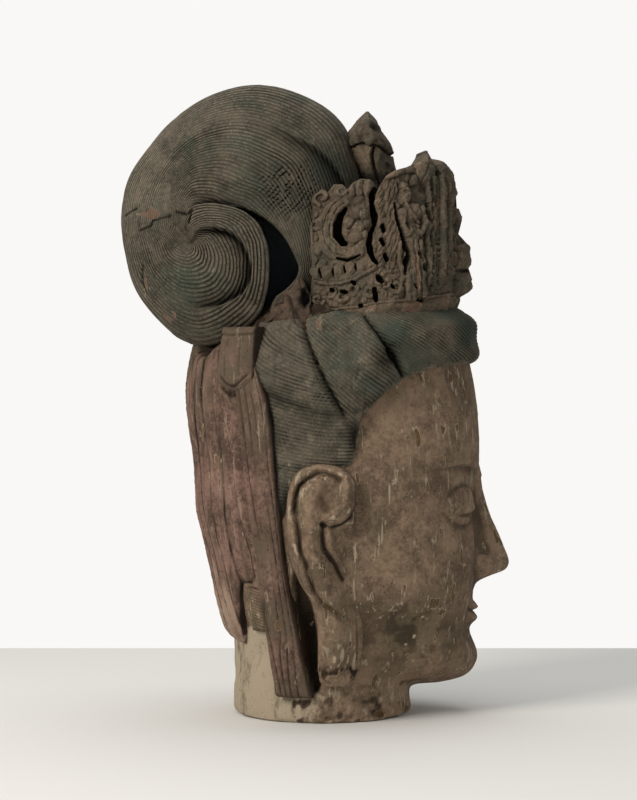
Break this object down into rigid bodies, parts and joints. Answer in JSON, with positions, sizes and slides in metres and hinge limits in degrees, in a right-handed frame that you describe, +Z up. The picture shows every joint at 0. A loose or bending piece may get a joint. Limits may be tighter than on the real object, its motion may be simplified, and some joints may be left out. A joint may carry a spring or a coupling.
{
  "type": "bodhisattva head sculpture",
  "caption": "Larger than life head carved in wood, with long ears, combed hair, an openwork crown, a spiral chignon and a veil, cut flat below so that it stands.",
  "frame": {"origin": "middle of the neck's cut underside, on which the head stands", "axes": "+X the way the face looks, +Y towards the figure's left ear, +Z up"},
  "size_m": [0.4633, 0.3406, 0.7498],
  "materials": {
    "painted_wood": "old carved wood with worn paint and gesso, matt"
  },
  "bodies": {
    "root": {"bodhisattva_head": "painted_wood"}
  },
  "joints": []
}
